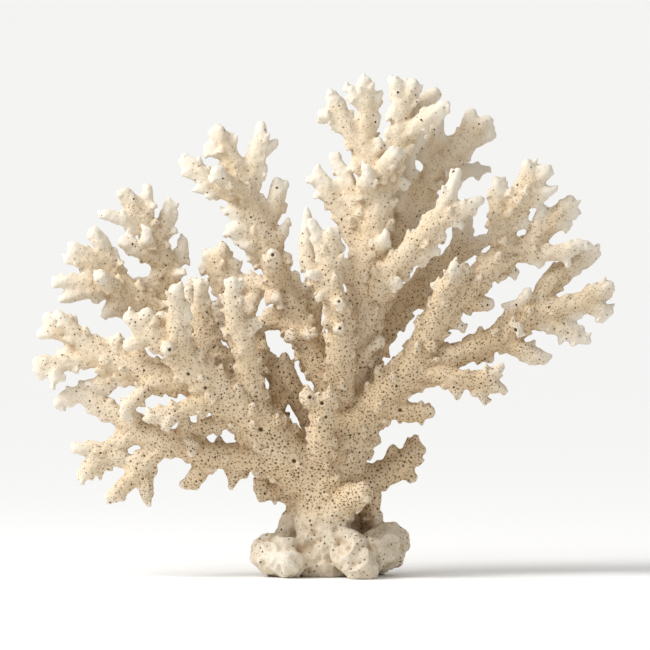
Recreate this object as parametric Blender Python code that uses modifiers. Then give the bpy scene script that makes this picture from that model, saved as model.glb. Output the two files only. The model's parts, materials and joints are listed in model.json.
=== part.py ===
"""A bleached branching coral on its own spreading foot, split at its main forks.

Each bough is a handful of limbs. A limb is a route of hand-placed stations, (x, y, z, radius) in
millimetres, that starts inside whatever it grows from and ends in a rounded tip. The limbs of one
bough are fused into one skin, thinned to a few facets, and trimmed clear of the boughs before it.
X runs along the fan, Y away from the viewer and Z up from the flat cut under the foot.
"""

import math

import bmesh
import bpy
from mathutils import Matrix, Vector
from mathutils.bvhtree import BVHTree

MM = 0.001
SKIN_VOXEL = 1.25 * MM        # grid on which the limbs of a bough are fused
SKIN_SMOOTHING = 3            # passes that round the fused forks
FACET_SHARE = 0.0262          # share of the fused skin's triangles that is kept
JOINT_GAP = 0.34 * MM         # air left between a bough and what it grows from
STATION_STEP = 3.0            # millimetres between rings along a limb
TIP_REACH = 0.6               # millimetres that fusing and thinning take off a tip, added first
SIDES = 12                    # sides of a limb before it is fused
SHORTEST_STEP = 0.001         # millimetres; rings closer than this need no cone between them
SAW_SPAN = 200.0              # millimetres, wider than the foot
CUT_DEPTH = 40.0              # millimetres of waste below the foot's flat cut
SHARP_EDGE = math.radians(50)
ROUGHNESS = 0.8
PALE = (0.84, 0.79, 0.69, 1.0)
CREAM = (0.80, 0.72, 0.60, 1.0)
TAN = (0.74, 0.62, 0.47, 1.0)
SHADED_BOUGHS = ("outer_left_bough", "upper_left_bough", "back_inner_bough", "back_right_bough")
PALE_BOUGHS = ("trunk", "left_front_bough", "left_head", "left_front_finger", "right_middle_bough")

FOOT = [
    # left lobe, and the recess beside it
    [(-27, -1, 11, 10.6), (-20, -6, 9.6, 10.8)],
    [(-12, -1, 9.5, 8.6), (2, -3, 9.5, 9)],
    # front lobe, under a raised rim
    [(3.5, -9, 18.5, 6), (9.5, -12, 19.5, 5.2), (14.5, -13, 16.5, 6.4)],
    [(11, -12, 12, 8.4), (16.5, -16, 9, 8.6), (18, -17, 6, 8.4)],
    # right lobes
    [(20, -7, 10, 9.6), (27, -3, 14, 10), (30, 0, 18, 8.2)],
    [(30, 6, 11, 9.6), (34.5, 7, 15, 8), (33.5, 7, 18.6, 8)],
    # back lobes
    [(-12, 8, 9, 10.6), (4, 18, 9, 12), (22, 14, 10, 12)],
    [(-25, 6, 8, 9), (-16, 16, 8, 9.5)],
    [(0.5, 4, 8, 14.5), (0, 3, 20, 13.8)],
    # struts that stand free beside the neck
    [(-21, 8, 14, 6), (-18.5, 8, 24, 5.2), (-14, 6, 34, 5.4)],
    [(28, 9, 20, 6), (24.4, 8, 29, 3.3), (24.2, 8, 39, 3.8), (25, 8, 48, 5.5)],
    [(12, 15, 20, 8), (16, 15, 30, 7), (14, 11, 42, 8)],
]

STEM = [
    [(0, 2, 14, 14), (-0.8, 1, 26, 14.2), (0.4, 1, 38, 16.4), (1, 0, 50, 18), (1, 0, 60, 17)],
    [(-2, -2, 50, 15), (-16, -6, 60, 13.5), (-26, -9, 69, 13)],
    [(4, -2, 54, 15), (12, -3, 68, 13), (19, -3, 79, 11)],
    [(2, 4, 56, 14), (8, 4, 74, 12), (11, 3, 88, 10.5), (13, 3, 98, 10.5)],
    [(-4, 2, 46, 14), (-20, -4, 56, 11), (-30, -6, 59, 9.5)],
    [(4, 8, 50, 13), (14, 8, 50, 9), (20, 8, 50, 8)],
    [(14, -3, 66, 9), (24, -4, 68, 4)],
]

BROKEN_STUBS = [
    # low on the right
    [(16, 7, 47, 8), (26, 7, 49.5, 7), (33, 7, 52.5, 7.4), (39, 7, 56, 7.6), (43, 6, 60, 6)],
    [(42, 7, 60, 5), (44.5, 7, 66, 3), (45.5, 7, 69, 1.8)],
    [(43, 6, 59, 4.6), (47.5, 6, 63, 2.6)],
    [(39, 7, 55, 5.4), (42.5, 7, 50.5, 3.6)],
    [(33, 7, 57, 4.6), (34, 7, 64, 1.8)],
    # front
    [(4, -9, 34, 8), (11, -15, 39, 7.2), (16, -19, 41.5, 7.4), (18, -21, 42.5, 6.6)],
    [(15, -19, 42, 5), (14.5, -20, 46.6, 1.9)],
    [(18, -20, 43, 5), (19.5, -21, 47.5, 2)],
    # centre, with two open mouths
    [(-2, -10, 58, 8), (-1.5, -19, 67, 7.2), (-1.5, -23, 77, 6.8), (-1.5, -26, 86, 5.8),
     (1, -28, 90.5, 4)],
    [(-3, -26, 86, 5), (-8.5, -28, 91, 4.3)],
    [(-5, -22, 70, 4.4), (-8, -22, 70.5, 1.8)],
    [(2, -26, 88, 3.4), (4.5, -27, 92, 1.8)],
    # left, snapped short
    [(-10, 8, 37, 7), (-19, 9, 41, 6), (-27, 9, 43.5, 6.2), (-30, 9, 44, 6.2)],
    [(-29, 9, 42, 5), (-31.5, 9, 40, 3)],
    [(-29, 9, 46, 4.6), (-31.5, 9, 48.5, 3)],
]

BOUGHS = {
    # front left
    "left_front_bough": [
        [(-20, -7, 64, 12), (-32, -13, 76, 12.5), (-45, -18, 88, 11.5), (-58, -22, 98, 10),
         (-69, -25, 108, 9), (-73, -28, 118, 7.5), (-73.5, -32, 132, 5), (-74, -36, 144, 3.7)],
        [(-72, -30, 124, 4.5), (-69, -33, 130, 2.2), (-68.5, -34, 134, 1.8)],
        [(-50, -20, 90, 8), (-58, -24, 89, 6.5), (-68, -26, 86, 5), (-78, -28, 83, 4.2),
         (-86, -29, 82, 3.4)],
        [(-74, -28, 83, 4), (-78, -31, 79, 2.8)],
        [(-42, -15, 80, 6), (-52, -14, 78.5, 4.6), (-60, -13, 75.5, 4.4), (-66, -13, 72.5, 4)],
        [(-28, -20, 76, 6), (-26, -23, 80, 2.4)],
        [(-76, -31, 117, 5), (-78, -36, 116, 3.4)],
    ],
    "left_head": [
        [(-70, -25, 110, 7), (-80, -26, 119, 7.5), (-88, -27, 125, 7), (-93, -28, 128, 5)],
        [(-91, -28, 126, 5), (-97, -29, 131, 3)],
        [(-87, -28, 126, 5.5), (-88.5, -30, 132, 3.6)],
        [(-88, -27, 121, 5), (-95, -27, 118, 3.2), (-98.5, -27, 117, 2.3)],
        [(-81, -26, 119, 6), (-81.5, -24, 128, 4), (-82, -23, 131, 2.5)],
    ],
    "left_front_finger": [
        [(-36, -15, 82, 9), (-37, -20, 95, 7.5), (-38.5, -25, 108, 6.5), (-41, -29, 120, 6.3),
         (-44.5, -32, 130, 5.6), (-46, -35, 140, 4.4), (-45.5, -37, 148, 3.4)],
        [(-40, -27, 121, 4), (-35.5, -31, 127, 2.2), (-35, -32, 130, 1.7)],
        [(-42, -28, 122, 4.5), (-47.5, -31, 123, 2)],
        [(-37, -22, 99, 4), (-36.5, -28, 108, 1.9)],
        [(-40, -28, 116, 3.5), (-41.5, -33, 114, 2)],
    ],
    "left_inner_finger": [
        [(-40, -8, 88, 7), (-48, -6, 99, 8), (-55, -5, 110, 7.5), (-59, -6, 121, 6.5),
         (-61, -8, 132, 4.6), (-62, -10, 141, 3.7), (-62, -11, 146.5, 3)],
        [(-44, -4, 98, 5), (-45, -4, 108, 4), (-44.5, -3, 115, 2)],
        [(-60, -6, 122, 4), (-67, -2, 134, 3), (-68, -1, 143, 2.4)],
        [(-58, -6, 126, 4), (-57.5, -6, 131, 2)],
    ],
    # far left, low
    "far_left_bough": [
        [(-58, -20, 95, 8), (-70, -19, 100, 7), (-80, -17, 102.5, 7.5), (-92, -15, 105, 8),
         (-103, -13, 108.5, 8), (-114, -12, 113.5, 7), (-123, -13, 121, 5), (-129, -14, 127, 3.8),
         (-132.5, -14, 131, 2.7)],
        [(-118, -12, 116, 5.5), (-126, -9, 121, 5.4), (-133, -8, 123.5, 4.8), (-140.5, -8, 122, 3)],
        [(-132, -8, 124, 4.5), (-138, -8, 129.5, 2.9)],
        [(-124, -11, 124, 3), (-125.5, -10, 131, 1.3)],
        [(-108, -12, 109, 6), (-116, -12, 109, 4.6), (-125, -13, 108, 3.8), (-133, -14, 107, 4),
         (-140, -15, 107, 4.6), (-142.5, -15, 107.5, 3.2)],
        [(-138, -15, 106, 4), (-141, -15, 102, 2.4)],
        [(-134, -15, 106, 3.8), (-134.5, -18, 101, 3), (-135.5, -19, 98, 1.9)],
        [(-122, -11, 111, 4), (-129, -9, 112, 2.5), (-133, -8, 112.5, 1.6)],
        [(-102, -13, 106, 6), (-109, -11, 99, 4.5), (-115, -10, 96, 3.6), (-121, -9, 96, 2.2)],
        [(-107, -11, 98, 3.5), (-109, -11, 93, 1.7)],
        [(-96, -15, 102, 6), (-101, -15, 98, 2), (-101.3, -15, 96.5, 1.2)],
        [(-106, -13, 113, 5), (-109, -13, 118, 2.6)],
        [(-102, -14, 113, 5), (-104.5, -15, 118, 2.9)],
        [(-92, -15, 108, 5), (-93.5, -15, 114, 2)],
        [(-98, -14, 108, 5), (-98, -14, 112, 2.2)],
        [(-78, -20, 99, 6), (-87, -21, 97, 4.4), (-93, -22, 91.5, 3.7), (-98, -23, 87, 3.6),
         (-99, -23, 82, 2.8)],
        [(-70, -22, 97, 5), (-80, -20, 97, 4), (-88, -20, 98, 4)],
    ],
    "lower_left_bough": [
        [(-24, -5, 57, 10), (-36, -8, 61, 8.8), (-48, -10, 61, 7.4), (-60, -12, 62, 7.2),
         (-70, -13, 66, 7.2), (-80, -14, 68.5, 7.8), (-89, -14, 72, 7), (-97, -13, 77, 5.6),
         (-104, -12, 82, 4.8), (-112, -11, 86, 4.3), (-119, -11, 90.5, 3.6), (-127, -11, 92, 3.3),
         (-133, -11, 87.5, 2.5)],
        [(-110, -11, 85, 3.5), (-117, -12, 84, 1.8)],
        [(-125, -11, 91, 3), (-127, -11, 87, 1.6)],
        [(-112, -11, 84, 3.5), (-112, -11, 80.5, 1.5)],
        [(-96, -13, 79, 4.5), (-96.5, -20, 83, 2.4)],
        [(-92, -14, 73, 6), (-101, -13, 69, 4.6), (-108, -12, 65, 4), (-116, -12, 64.5, 3.5),
         (-124, -12, 65, 2.6)],
        [(-98, -13, 73, 4.5), (-103, -13, 73, 1.7)],
        [(-105, -12, 64, 4), (-112, -12, 59.5, 4), (-118, -13, 54, 4.1), (-120.5, -13, 52, 3.2)],
        [(-110, -12, 60, 3.6), (-112.5, -10, 54, 2.2), (-112.3, -10, 50.5, 1.6)],
        [(-107, -12, 61, 3), (-107.5, -12, 56.5, 1.4)],
        [(-82, -14, 66, 7), (-88, -14, 59.5, 5), (-93, -14, 54, 5.4), (-99, -15, 47.5, 4.6),
         (-104, -16, 42, 3.9), (-107, -16, 40.5, 2.8)],
        [(-92, -14, 54, 4.8), (-89.5, -14, 47, 3.7), (-89, -14, 41.5, 2.9), (-88.8, -14, 39.2, 2)],
        [(-88, -14, 57, 4), (-85.5, -13, 53, 1.6)],
        [(-88, -14, 60, 4.6), (-97, -13, 58.5, 3.4), (-106, -12, 60.5, 3.6)],
        [(-57, -12, 59, 6), (-63, -12, 53, 4.4), (-67, -12, 49, 2.8), (-70.5, -12, 47, 2)],
        [(-62, -12, 54, 4), (-64.5, -12, 46.5, 1.9)],
        [(-43, -10, 58, 5.5), (-45, -10, 51.5, 3), (-46.5, -10, 47.5, 2)],
        [(-68, -15, 68, 5), (-66, -21, 67, 3), (-66.3, -22, 63, 1.8)],
        [(-72, -13, 70, 5), (-69.5, -12, 77, 3), (-69, -12, 79, 2)],
        [(-52, -10, 62, 5), (-52.5, -9, 68, 2)],
        [(-36, -8, 63, 6), (-34.5, -10, 68.5, 2)],
    ],
    # upper left, behind the front boughs
    "outer_left_bough": [
        [(-30, 4, 76, 9), (-44, 9, 92, 8), (-58, 11, 106, 7.5), (-71, 10, 119, 7.4),
         (-83, 8, 131, 7), (-94, 6, 139, 7.2), (-103, 5, 145, 7), (-108, 4, 151, 5.5),
         (-109, 4, 159, 4.2), (-111, 3, 165.5, 3.5), (-115, 2, 171, 3.6)],
        [(-109, 4, 152, 5), (-115, 2, 157, 5), (-121, 1, 160.5, 4.5), (-125, 0, 164, 3.2)],
        [(-121, 1, 160, 4), (-128.5, 0, 158.5, 2)],
        [(-112, 3, 153, 3.5), (-117, 2, 152.5, 2.4), (-120.8, 2, 151.7, 1.5)],
        [(-104, 4, 144, 6), (-113, 1, 146, 4.3), (-122, -1, 147, 4), (-129, -2, 147.5, 3.2),
         (-134.5, -3, 148, 2.4)],
        [(-112, 1, 144, 4), (-120, -1, 142.5, 3.6), (-127, -2, 141, 3.2), (-131.5, -2, 138.7, 1.8)],
        [(-98, 5, 140, 6.5), (-104, 4, 136, 5.2), (-108.5, 3, 132.5, 2.6)],
        [(-103, 4, 136, 4.5), (-107.5, 5, 131, 1.9)],
        [(-98, 5, 138, 5.5), (-101, 5, 132, 2.6)],
        [(-112, 2, 143, 3), (-113, 2, 138.5, 1.6)],
        [(-101, 2, 142, 5), (-107, -5, 147, 4.2), (-112, -10, 150.5, 3.4)],
        [(-99, 6, 144, 5), (-98, 6, 149, 2)],
        [(-104, 6, 148, 5), (-102.5, 7, 153.5, 2.3)],
        [(-106, 5, 155, 4), (-105, 6, 161, 1.6)],
        [(-112, 3, 163, 3), (-109.5, 3, 168, 1.6)],
    ],
    "upper_left_bough": [
        [(-66, 12, 114, 6), (-71, 17, 127, 6), (-76, 19, 139, 6.2), (-79, 19, 149, 6.6),
         (-82, 18, 159, 6.6), (-86, 17, 169, 6.2), (-92, 16, 178, 5.8), (-96, 15, 185, 4.8),
         (-100, 14, 190.5, 3.5)],
        [(-92, 16, 180, 5), (-90, 17, 187, 3.4), (-88.5, 17, 193, 2.3)],
        [(-90, 16, 176, 4.8), (-98, 13, 177.5, 3.8), (-105, 11, 179.5, 3.1), (-110, 10, 181, 2.4)],
        [(-84, 18, 168, 5), (-80.5, 20, 176, 3.6), (-79, 21, 182, 2.7), (-78, 22, 188, 1.6)],
        [(-79, 21, 181, 2), (-74, 21, 185.5, 1.2)],
        [(-80, 21, 176, 2.6), (-74.8, 21, 178.8, 1.3)],
        [(-82, 20, 170, 3), (-76.5, 20, 172, 1.5)],
        [(-82, 17, 157, 5.5), (-90, 13, 161.5, 4.4), (-96, 10, 164.5, 3.7), (-100.5, 9, 167, 2.9)],
        [(-80, 19, 153, 5), (-73.5, 22, 157, 3.2), (-71.3, 23, 162, 3), (-71.5, 23, 166.5, 2.4)],
        [(-87, 14, 163, 4.5), (-89, 7, 169, 2.8), (-89, 5, 173, 2)],
        [(-80, 17, 150, 5), (-85.5, 15, 151, 1.8)],
        [(-76, 17, 149, 4), (-72.8, 12, 151.5, 2.5)],
        [(-73, 17, 134, 4.5), (-68, 12, 143, 3), (-66.5, 9, 148, 2)],
        [(-96, 13, 174, 3), (-97, 12, 171.5, 1.6)],
        [(-88, 15, 182, 3), (-87, 15, 186, 1.4)],
        [(-77, 19, 141, 5), (-85, 16, 144, 4.6), (-93, 13, 146, 3.6)],
        [(-78, 17, 138, 5), (-81, 15, 137, 4)],
    ],
    "left_back_frond": [
        [(-22, 8, 72, 7), (-31, 13, 84, 5.5), (-35, 16, 96, 5.5), (-33.5, 17, 108, 5.8),
         (-35, 18, 118, 5.8), (-40, 19, 128, 5.6), (-46, 20, 137, 5.6), (-50.5, 20, 146, 6.3),
         (-53, 19, 154, 6.4), (-52, 18, 160.5, 4.6)],
        [(-53, 20, 154, 5.5), (-58, 19, 159, 3.4)],
        [(-54, 20, 152, 4.5), (-60.5, 19, 154.5, 2)],
        [(-50, 19, 150, 5.5), (-46, 18, 153, 2.8), (-45, 18, 156.5, 1.8)],
        [(-51, 20, 143, 4.5), (-55.5, 20, 142, 1.9)],
        [(-47, 19, 147, 5), (-38, 17, 145.5, 4), (-29, 13, 145, 4)],
        [(-39, 18, 147, 3), (-36, 17, 149.5, 1.8)],
        [(-38, 17, 108, 5), (-46, 16, 118, 4), (-51, 15, 127, 3.6), (-55.5, 14, 134.5, 2.8)],
        [(-41, 18, 128, 4), (-37, 16, 135.5, 4.2), (-35.5, 15, 139, 3.2)],
    ],
    "back_inner_bough": [
        [(-4, 10, 62, 8), (-8, 15, 75, 3.8), (-12, 17, 84, 4.4), (-16, 18, 93, 5.6),
         (-19.5, 19, 102, 4.2), (-20.5, 19, 108.5, 2.4)],
        [(-16, 12, 66, 6), (-22.5, 15, 77, 3.6), (-24.5, 17, 86, 3.4), (-24.5, 19, 95, 3.4),
         (-26.5, 20, 104, 3.2), (-27.5, 20, 109, 2.2)],
        [(-24, 18, 88, 3), (-17, 18, 91, 4)],
    ],
    "tall_left_bough": [
        [(9, 4, 84, 8), (2, 6, 97, 8.5), (-4, 7, 109, 9), (-10, 8, 120, 9), (-15, 9, 130, 8.6),
         (-20, 9, 140, 7.8), (-24, 9, 150, 7.2), (-28, 9, 161, 7), (-32, 9, 172, 7.4),
         (-36, 9, 182, 7), (-40, 9, 192, 6.4), (-43, 9, 201, 5), (-48, 9, 210, 4.6),
         (-51.5, 9, 217, 4.6), (-53, 9, 221, 4.2)],
        [(-40, 9, 194, 5.5), (-37, 10, 203, 4.2), (-34, 11, 211, 3.8), (-32.3, 12, 219, 3.2),
         (-31.5, 12, 225, 2.4)],
        [(-33, 11, 211, 3), (-28, 12, 214, 2.3), (-24.5, 13, 217.5, 1.6)],
        [(-50, 9, 212, 3.6), (-57, 8, 213, 3), (-59, 8, 215, 1.6)],
        [(-48, 10, 210, 3), (-46.3, 11, 216, 1.9), (-46, 11, 220.5, 1.5)],
        [(-52, 9, 219, 3.6), (-55.5, 8, 221.5, 2.6)],
        [(-38, 9, 187, 6), (-46, 8, 191, 5.4), (-54, 7, 196, 4.8), (-61, 6, 201, 4.4),
         (-66.5, 6, 205, 3.8), (-69.5, 6, 209, 2.4)],
        [(-62, 6, 202, 3.8), (-70, 5, 201.5, 1.8)],
        [(-56, 6, 196, 3.5), (-61, 5, 194, 2.3), (-65, 5, 193.3, 1.5)],
        [(-52, 6, 193, 3), (-57, 5, 191.5, 1.6)],
        [(-40, 6, 192, 5.5), (-47, -2, 196, 4.8), (-52, -7, 200, 4.2), (-54, -9, 202, 3.2)],
        [(-33, 10, 174, 5.5), (-26.5, 12, 181, 4.6), (-24.5, 13, 189, 4.2), (-23.8, 13, 197, 2.4)],
        [(-24.5, 13, 192, 3.4), (-19.5, 13, 194.8, 1.5)],
        [(-25, 13, 188, 3), (-21, 13, 189.5, 1.4)],
        [(-36, 8, 180, 6), (-44, 6, 181, 3.2), (-48.5, 5, 183, 1.7)],
        [(-33, 8, 172, 6), (-42, 5, 172, 3.8), (-47, 4, 172, 2.3)],
        [(-40, 5, 174, 3), (-49, 4, 176, 0.9)],
        [(-31, 8, 166, 6), (-38, 5, 165, 3.2), (-42, 4, 166.5, 1.7)],
        [(-30, 9, 161, 5.5), (-36, 8, 158, 1.9)],
        [(-26, 9, 167, 5.5), (-21, 9, 172, 2.6), (-19.5, 9, 176, 1.6)],
        [(-34, 9, 184, 5), (-31, 9, 187, 1.4)],
        [(-36, 10, 200, 3.8), (-30.5, 10, 203.5, 1.7)],
        [(-38, 10, 197, 4.5), (-33, 10, 195.5, 1.6)],
        [(-38, 10, 207, 2.6), (-38.5, 10, 208.5, 1.5)],
        [(-34, 11, 212, 2.6), (-37, 11, 213.5, 1.4)],
        [(-44, 10, 206, 3), (-44, 10, 210, 1.4)],
        [(-24, 5, 147, 6), (-25.5, -2, 154, 4.6), (-26, -7, 160, 3.9), (-26, -8, 161.5, 3)],
        [(-22, 9, 156, 5), (-19.5, 9, 159, 2.4)],
        [(-19, 9, 142, 5.5), (-15, 9, 147, 2.6), (-14, 9, 151, 1.4)],
        [(-15, 9, 138, 5), (-11.5, 9, 143.5, 2.2)],
        [(-10, 9, 116, 7), (-7, 12, 128, 6), (-6, 13, 138, 4.8), (-7.5, 13, 146, 2.2)],
        [(-14, 10, 126, 6), (-23, 11, 127.5, 4.4), (-30, 12, 126.5, 4), (-35, 13, 124, 3)],
        [(-28, 11, 128, 3.4), (-29, 10, 132, 2)],
        [(-12, 3, 121, 6), (-17, -1, 120, 3.2)],
        [(-9, 3, 122, 6), (-8, -3, 121, 3)],
        [(-26, 3, 141, 5), (-24, -1, 139, 2.8)],
        [(-8, 8, 108, 6), (-13, 7, 115, 3)],
    ],
    "front_centre_bough": [
        [(8, -6, 92, 8), (8, -9, 106, 8.4), (8, -13, 119, 7.4), (6.8, -16, 131, 7),
         (4, -19, 143, 6.2), (2.8, -21, 154, 5.5), (3, -22, 164, 5.2), (3.5, -23, 171.5, 4.2)],
        [(0, -21, 160, 4.4), (-3.5, -22, 171, 3.1), (-7, -23, 178.5, 2.2)],
        [(1, -17, 142, 5), (-6, -12, 154, 4.4), (-8.8, -11, 164, 3.8), (-9, -10, 173, 2.9),
         (-8.6, -9, 181, 2.1)],
        [(-7, -12, 158, 3.6), (-11.5, -12, 160, 1.7)],
        [(-9, -11, 166, 2.8), (-11, -11, 168, 1.4)],
        [(1, -20, 149, 4.6), (-4.5, -23, 152, 2.7), (-7, -24, 152, 2)],
        [(2, -19, 141, 4), (-2, -23, 142, 1.9)],
        [(5, -17, 128, 5), (0.5, -20, 128, 2)],
        [(5, -19, 139, 5), (7.5, -25, 138, 2.6)],
        [(6, -15, 126, 5), (7, -23, 125, 2.6)],
        [(6, -22, 163, 3), (9, -21, 166, 1.4)],
        [(5.5, -22, 170, 2.6), (6, -22, 173.5, 1.8)],
    ],
    "tall_centre_bough": [
        [(12, 3, 86, 9), (14, 3, 102, 10), (17, 2, 116, 10.5), (20.5, 2, 130, 10.4),
         (22, 3, 143, 10), (22.5, 3, 155, 10), (24, 3, 168, 9.4), (26, 3, 180, 8.8),
         (27, 3, 192, 8.6), (25, 3, 202, 6.6), (21, 3, 212, 6), (20.5, 3, 222, 5.2),
         (21, 2, 232, 4.6), (20.5, 2, 241, 3.9), (20, 2, 247, 3.2)],
        [(19, 2, 235, 3.4), (15, 1, 240, 2.8), (13, 1, 244, 2)],
        [(22.5, 3, 234, 3.4), (26, 3, 239, 2.3), (28, 3, 242.5, 1.7)],
        [(22.5, 2, 224, 3.4), (26.5, 2, 230.5, 1.3)],
        [(20, 3, 211, 5.5), (14, 4, 221, 5), (9, 4, 228.5, 4.8), (5.5, 4, 235, 4), (3.7, 4, 240.5, 2.6)],
        [(6, 4, 230, 4), (-1, 4, 231, 2.7)],
        [(8, 4, 230, 3), (9, 4, 237, 1.5)],
        [(11, 4, 223, 3), (6, 4, 224, 1.5)],
        [(12, 4, 226, 3.4), (12, 4, 230.5, 1.4)],
        [(17, 4, 206, 4.5), (15, 4, 209, 2)],
        [(29, 3, 196, 7.6), (34, 2, 206, 5.4), (37.5, 1, 216, 6), (38, 1, 226, 5.2),
         (38.5, 0, 236, 4.6), (36.3, 0, 243, 3.6), (35, 0, 247, 3)],
        [(40, 0, 237, 4.2), (43, 0, 243.5, 3.7), (43.8, 0, 246, 3)],
        [(43, 0, 242, 3), (46.5, 0, 242.5, 1.3)],
        [(38, 1, 220, 5), (46, -3, 225.5, 4), (52, -6, 231, 3.9), (57, -8, 234.5, 3),
         (60.5, -9, 236.5, 2)],
        [(55, -8, 231, 3), (58.5, -9, 231.5, 1.6)],
        [(40, 4, 225, 4.6), (46.5, 9, 233, 4.2), (51, 12, 238.5, 4), (54.5, 13, 241, 3.4)],
        [(37, 1, 218, 4.5), (32, -1, 222, 2.2)],
        [(37, 0, 229, 4), (33, -1, 232.5, 1.6)],
        [(28, 0, 200, 6), (31, -8, 207, 4.8), (35, -12, 212, 3.4)],
        [(22, 1, 210, 4.5), (27.5, 0, 215.5, 2.6)],
        [(22, 0, 192, 7), (21.5, -8, 199, 4), (21, -10, 205, 1.6)],
        [(18, 4, 177, 7), (13, 6, 189, 5.5), (8.6, 7, 195, 3.2)],
        [(15, 5, 186, 5), (12, 7, 197, 3.4), (7.5, 8, 205, 2.9), (3.5, 8, 210.5, 2)],
        [(20, 3, 158, 7), (14.5, 5, 170, 5), (9.5, 6, 180, 4.6), (4.5, 7, 188.5, 4.6), (0.5, 7, 195.5, 3.6),
         (-3.5, 7, 202, 2.4)],
        [(0, 7, 195, 3), (-7, 6, 198, 1.6)],
        [(1, 7, 193, 3), (2.4, 7, 197, 1.4)],
        [(2, 7, 190, 3.4), (-2.8, 7, 190.5, 1.4)],
        [(26, -2, 164, 6.5), (29, -9, 168, 3.6), (30.5, -11, 172, 1.5)],
        [(13, 2, 136, 6.5), (11.5, 2, 142, 2)],
        [(13.5, 2, 150, 6), (9, 0, 158.5, 1.8)],
        [(33, 3, 196, 4), (41, 3, 197, 1.8)],
        [(15, 0, 104, 7), (22, -6, 114, 4), (27, -8, 118.5, 2.4)],
    ],
    # right, behind
    "right_back_bough": [
        [(27, 8, 158, 7), (35, 14, 170, 6.8), (42, 17, 182, 6.8), (48, 19, 192, 6.6),
         (55, 20, 201, 6.2), (62, 21, 209, 6), (68, 22, 216, 5.6), (71.5, 22, 223, 4.4),
         (73, 22, 230.5, 3)],
        [(68, 22, 217, 5), (76, 22, 223, 4), (81, 22, 227, 2.9)],
        [(72, 22, 218, 4.4), (79, 23, 219.5, 3.4), (83.5, 23, 220.5, 2.4)],
        [(70, 23, 216, 4), (76, 23, 216.5, 2.6), (80, 23, 217.5, 1.4)],
        [(64, 23, 209, 4.5), (71, 24, 210, 1.9)],
        [(61, 21, 208, 4.4), (61.2, 21, 214, 2.8), (61.5, 21, 218, 1.5)],
        [(66, 21, 215, 4.4), (65, 21, 220, 1.5)],
        [(50, 19, 196, 5.2), (53.6, 20, 206, 4.2), (54, 21, 216, 4.1), (55.8, 21, 224, 3.6),
         (56.6, 21, 229, 2.8)],
        [(54, 21, 218, 4), (58.3, 21, 220.5, 1.3)],
        [(50, 20, 209, 3.6), (49, 20, 213, 2)],
        [(44, 18, 190, 5), (41.6, 16, 200, 3.8), (42.4, 15, 210, 2.9), (46, 14, 219, 2.9),
         (49, 14, 225, 2.4)],
        [(52, 22, 194, 5), (58, 24, 199, 4.6), (64, 26, 201.5, 3.8), (72, 28, 202.5, 3),
         (80, 29, 203, 2.2)],
        [(70, 28, 203, 2.6), (70.5, 28, 205, 1.4)],
        [(47, 20, 184, 5), (55, 20, 186.5, 2.2)],
        [(52, 20, 192, 4.5), (57, 21, 197, 2)],
        [(38, 14, 190, 3.6), (36.5, 12, 184, 3)],
    ],
    "right_middle_bough": [
        [(26, -2, 142, 8), (31, -6, 151, 7.4), (38, -8, 159, 6.6), (45.5, -10, 167, 6.2),
         (53, -11, 175, 6), (59, -12, 183, 4.8), (62, -13, 191, 3.7), (64.5, -13, 198, 3),
         (66.3, -14, 203.5, 1.7)],
        [(56, -12, 178, 5), (64, -13, 181.5, 4.4), (71, -13, 185, 3.8), (76.3, -13, 188.6, 2.2)],
        [(50, -10, 173, 4.5), (51.5, -11, 181.5, 1.7)],
        [(48, -10, 168, 5.5), (54, -11, 170, 3.6), (58, -12, 171, 2.4)],
        [(44, -9, 162, 5.5), (50, -10, 163.5, 3.4), (55, -11, 163, 1.5)],
        [(40, -9, 158, 5), (47, -10, 159, 2.4), (50.5, -10, 157.8, 1.3)],
        [(61, -13, 180, 3.4), (67, -14, 176, 1.5)],
        [(63, -13, 188, 3), (65.8, -13, 187, 1.5)],
        [(28, -6, 148, 5.5), (33, -12, 147.5, 3.2), (37.5, -14, 147, 2)],
        [(33, -5, 152, 5), (39, -3, 152, 3.2), (40.5, -2, 150, 2)],
        [(44, -10, 169, 4), (45.5, -10, 173.5, 1.5)],
    ],
    "back_right_bough": [
        [(14, 12, 84, 8), (19, 15, 97, 8), (22.5, 18, 110, 7.6), (29, 20, 122, 7.6),
         (37, 21, 133, 7.4), (45.5, 22, 142.5, 7.4), (54, 23, 150, 6.4), (61, 24, 157, 4.4),
         (66, 25, 164, 3.8), (69, 25, 172, 3.5), (71.5, 25, 178.5, 2.5)],
        [(60, 24, 154, 4), (68, 25, 160, 4.2), (75, 25, 164.5, 3.8), (81.5, 25, 168, 2.6)],
        [(70, 25, 170, 2.4), (73, 25, 172, 1.2)],
        [(37, 21, 136, 5), (37, 21, 141, 1.7)],
        [(48, 22, 138, 5.5), (52, 22, 134.5, 1.8)],
        [(56, 23, 148, 5), (57, 23, 147.5, 4.6)],
        [(50, 23, 148, 5), (55, 23, 157, 2.6)],
    ],
    # right
    "right_bough": [
        [(14, -3, 74, 10), (24, -5, 86, 10), (34, -6, 96, 9.6), (43, -6, 105, 10.4),
         (49.5, -6, 116, 8.4), (54, -6, 127, 8.6), (62, -5, 136.5, 8), (70, -4, 144, 7.6),
         (78, -3, 151, 7.6), (86, -2, 158.5, 8)],
        [(38, -6, 104, 5.5), (38.5, -6, 111, 1.8)],
        [(28, -8, 95, 6), (27, -9, 103.5, 2.4)],
        [(46, -6, 118, 5), (46.7, -7, 125, 1.9)],
        [(54, -7, 128, 6), (53.5, -8, 136, 2.6), (53, -8, 138.5, 1.8)],
        [(56, -9, 133, 6), (58.5, -13, 141, 4.8), (62.5, -15, 149, 4.4), (64.5, -16, 154.5, 3)],
        [(60, -14, 144, 3.8), (54.3, -14, 146.5, 1.7)],
        [(65, -8, 145, 5), (68, -9, 152, 3.6), (71, -9, 154, 2.2)],
        [(68, -4, 139, 6.5), (76, -4, 137, 4.6), (81.5, -4, 136.8, 3)],
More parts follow.
